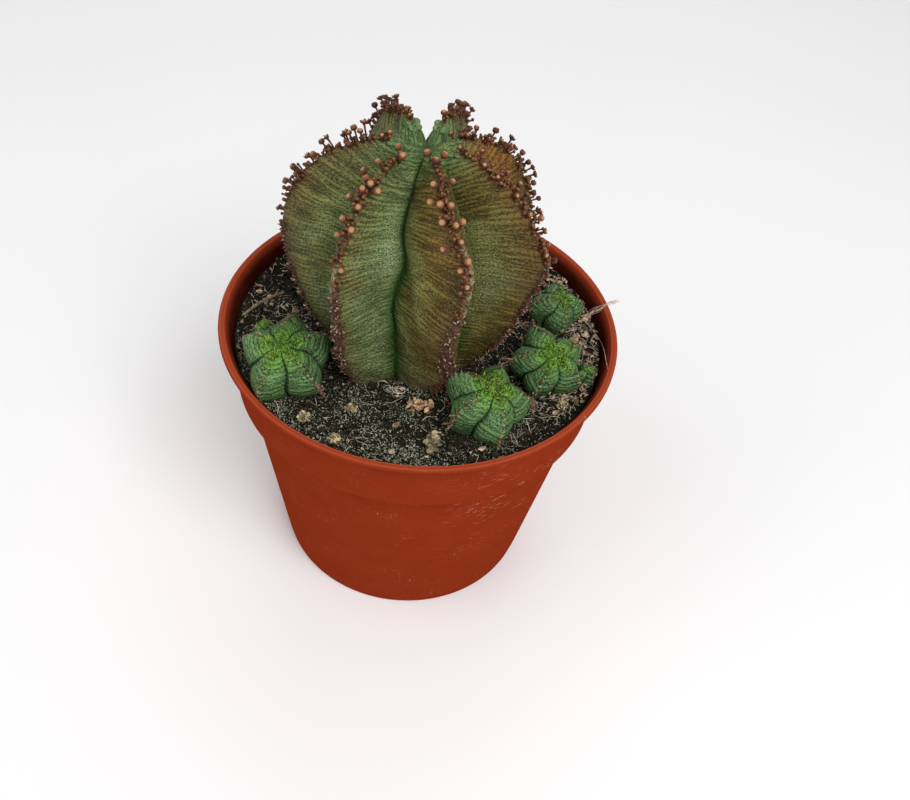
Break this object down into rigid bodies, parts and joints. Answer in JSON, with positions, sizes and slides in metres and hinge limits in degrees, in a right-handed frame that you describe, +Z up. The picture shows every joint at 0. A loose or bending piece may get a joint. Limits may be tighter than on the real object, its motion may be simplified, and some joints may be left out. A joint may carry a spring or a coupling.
{
  "type": "potted euphorbia",
  "caption": "Globose ribbed succulent with rows of dry flower buds on its crests and small offsets round its foot, rooted in soil in a tapered plastic nursery pot.",
  "frame": {"origin": "Middle of the pot's underside, on the surface it stands on.", "axes": "+Z up. -Y is the plant's best side, with two ribs facing it; +X is to the right when seen from -Y, where four of the offsets grow."},
  "size_m": [0.12, 0.12, 0.1594],
  "materials": {
    "pot": "brick-red moulded polypropylene with a soft sheen and fine scuffs",
    "soil": "dark peaty potting mix with pale fibres and sand",
    "stem": "matte olive-green succulent skin with fine cross bands and pale speckle",
    "offsets": "fresh green banded succulent skin, yellow-green at the growing tips",
    "buds": "dry red-brown flower buds and stalks with pinkish-tan tops",
    "grit": "yellow-tan crumbly grains",
    "bark": "rough orange-brown bark and dead stem",
    "roots": "pale pinkish dry root strands"
  },
  "bodies": {
    "root": {"pot": "pot", "soil": "soil", "main_stem": "stem", "flower_row_front_left": "buds", "flower_row_front_right": "buds", "flower_row_right": "buds", "flower_row_back_right": "buds", "flower_row_back": "buds", "flower_row_back_left": "buds", "flower_row_left": "buds", "offset_left": "offsets", "offset_front_right": "offsets", "offset_right": "offsets", "offset_back_right": "offsets", "offset_rim": "offsets", "offset_bud": "offsets", "grit_front": "grit", "grit_front_left": "grit", "grit_left": "grit", "grit_middle": "grit", "grit_right": "grit", "bark_chip_front": "bark", "bark_chip_right": "bark", "twig_left": "bark", "root_strands_rim": "roots", "root_strand_right": "roots", "root_strand_back": "roots"}
  },
  "joints": []
}
